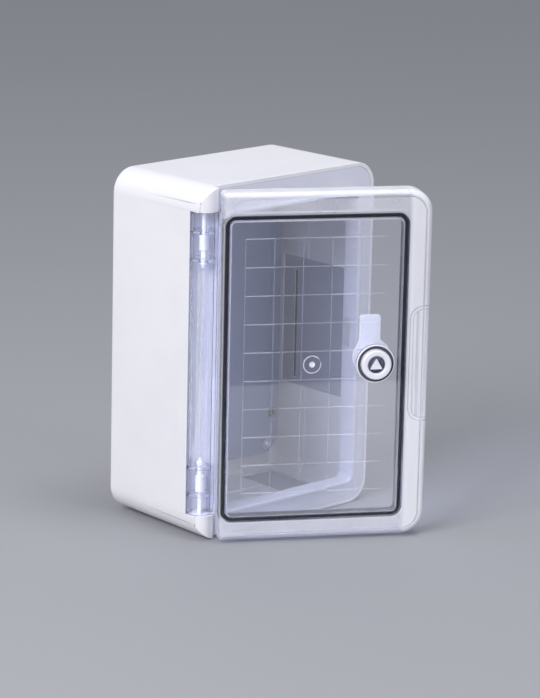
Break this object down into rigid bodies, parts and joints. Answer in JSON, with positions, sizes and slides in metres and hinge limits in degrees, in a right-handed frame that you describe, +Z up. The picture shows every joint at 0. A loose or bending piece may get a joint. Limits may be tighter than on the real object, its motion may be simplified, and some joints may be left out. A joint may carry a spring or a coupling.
{
  "type": "dc combiner box enclosure",
  "caption": "Hinged rectangular wall enclosure with rounded edges, a clear window door on pull-out hinge pins, a quarter-turn lock and an inner mounting plate, stored with its door ajar.",
  "frame": {"origin": "centre of the flat back face, the face that goes against the wall", "axes": "+Z up, -Y out of the front, +X to the right seen from the front; the hinge side is -X"},
  "size_m": [0.2, 0.2212, 0.302],
  "materials": {
    "shell_white": "fine satin moulded ABS",
    "frame_white": "satin moulded ABS",
    "plate_grey": "satin powder coat",
    "clear_door": "polished clear polycarbonate",
    "seal_black": "matt foam rubber",
    "pin_white": "satin moulded nylon",
    "lock_white": "semi-gloss moulded nylon",
    "cam_grey": "satin moulded nylon",
    "zinc_steel": "bright zinc plate"
  },
  "bodies": {
    "enclosure": {"enclosure_body": "shell_white", "front_frame": "frame_white", "mounting_plate": "plate_grey", "plate_washer_1": "zinc_steel", "plate_washer_2": "zinc_steel", "plate_washer_3": "zinc_steel", "plate_washer_4": "zinc_steel", "plate_screw_1": "zinc_steel", "plate_screw_2": "zinc_steel", "plate_screw_3": "zinc_steel", "plate_screw_4": "zinc_steel"},
    "door": {"door_panel": "clear_door", "door_gasket": "seal_black", "lock_gasket": "seal_black", "lock_housing": "lock_white", "lock_nut": "lock_white"},
    "lock_cam_set": {"lock_rotor": "lock_white", "lock_cam": "cam_grey", "cam_washer": "zinc_steel", "cam_screw": "zinc_steel"},
    "upper_pin": {"hinge_pin_upper": "pin_white"},
    "lower_pin": {"hinge_pin_lower": "pin_white"}
  },
  "joints": [
    {"name": "door_hinge", "type": "hinge", "parent": "enclosure", "child": "door", "pos_m": [-0.088, -0.107, 0], "axis": [0, 0, -1], "range_deg": [-30.7, 89.2]},
    {"name": "lock_turn", "type": "hinge", "parent": "door", "child": "lock_cam_set", "pos_m": [0.03405, -0.17958, 0.002], "axis": [0.5111, 0.8595, 0], "range_deg": [0, 90]},
    {"name": "upper_pin_pull", "type": "slide", "parent": "door", "child": "upper_pin", "axis": [0, 0, -1], "range_m": [0, 0.0054]},
    {"name": "lower_pin_pull", "type": "slide", "parent": "door", "child": "lower_pin", "axis": [0, 0, 1], "range_m": [0, 0.0054]}
  ]
}
